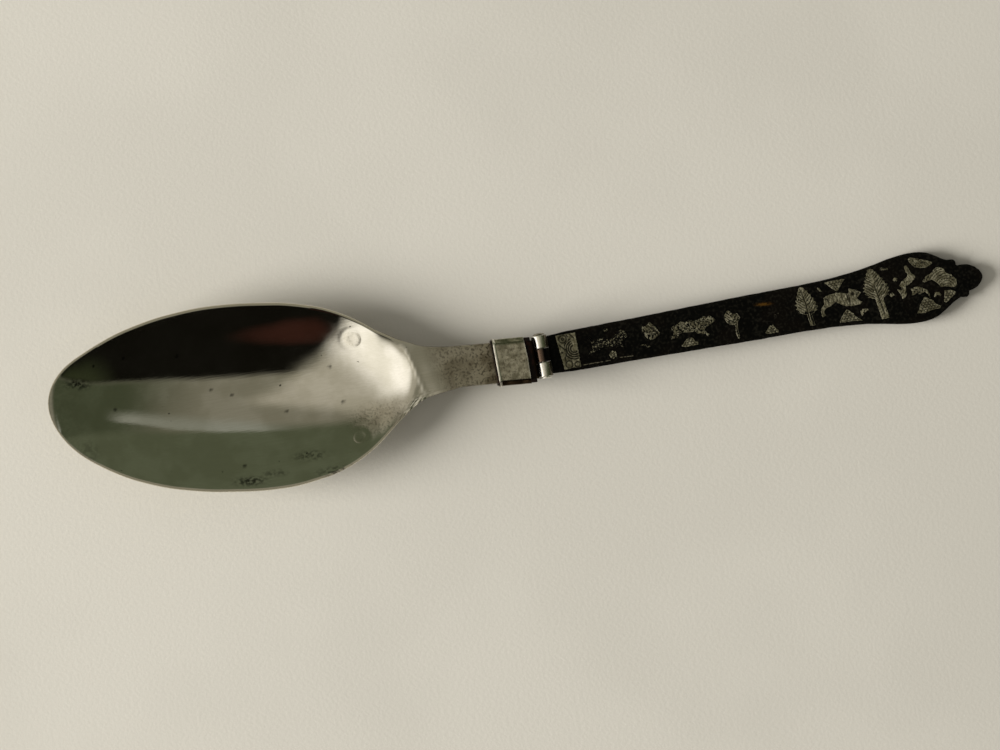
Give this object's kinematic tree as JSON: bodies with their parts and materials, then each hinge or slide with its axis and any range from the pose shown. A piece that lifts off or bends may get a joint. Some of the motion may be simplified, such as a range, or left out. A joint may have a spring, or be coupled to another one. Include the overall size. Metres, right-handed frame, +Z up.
{
  "type": "folding spoon",
  "caption": "Folding spoon with a polished oval bowl, a pinned hinge, a sliding box collar on the stem and a blackened iron handle inlaid with silver beasts, trees and mounds",
  "frame": {"origin": "middle of the footprint, on the surface that the spoon lies on, belly and handle tip down", "axes": "+X runs along the handle from the bowl to the finial, +Y to the left of that seen from above, +Z up out of the bowl"},
  "size_m": [0.1798, 0.0366, 0.0105],
  "materials": {
    "tinned_metal": "polished, tinned, with fine scratches and small stains",
    "silver": "worn silver with a soft shine",
    "dark_iron": "dark brown oxidised iron",
    "blackened_iron": "blackened, worn, with rust specks",
    "inlaid_silver": "dull silver, worn thin at the edges"
  },
  "bodies": {
    "bowl_side": {"bowl": "tinned_metal", "bowl_rivet_left": "tinned_metal", "bowl_rivet_right": "tinned_metal", "hinge_strap": "silver", "hinge_pin": "silver"},
    "handle_side": {"handle": "blackened_iron", "inlay_scroll_band": "inlaid_silver", "inlay_near_beast": "inlaid_silver", "inlay_flower": "inlaid_silver", "inlay_dot": "inlaid_silver", "inlay_bud": "inlaid_silver", "inlay_middle_beast": "inlaid_silver", "inlay_near_mound": "inlaid_silver", "inlay_near_tree": "inlaid_silver", "inlay_middle_mound": "inlaid_silver", "inlay_middle_tree": "inlaid_silver", "inlay_hanging_triangle": "inlaid_silver", "inlay_far_beast": "inlaid_silver", "inlay_far_mound": "inlaid_silver", "inlay_great_tree": "inlaid_silver", "inlay_half_moon": "inlaid_silver", "inlay_bird": "inlaid_silver", "inlay_crescent_beast": "inlaid_silver", "inlay_small_beast": "inlaid_silver", "inlay_arch": "inlaid_silver", "inlay_end_mound": "inlaid_silver", "inlay_end_triangle": "inlaid_silver", "inlay_wisp": "inlaid_silver", "inlay_leaf": "inlaid_silver", "inlay_curl": "inlaid_silver", "inlay_sprig": "inlaid_silver", "inlay_shoot": "inlaid_silver", "inlay_berry": "inlaid_silver"},
    "collar_side": {"collar_sleeve": "dark_iron", "collar_jacket": "silver"}
  },
  "joints": [
    {"name": "handle_fold", "type": "hinge", "parent": "bowl_side", "child": "handle_side", "pos_m": [0.00441, -0.00246, 0.00784], "axis": [0, -1, 0], "range_deg": [0, 180]},
    {"name": "collar_slide", "type": "slide", "parent": "bowl_side", "child": "collar_side", "axis": [0.9951, -0.0889, -0.0442], "range_m": [-0.0048, 0]}
  ]
}
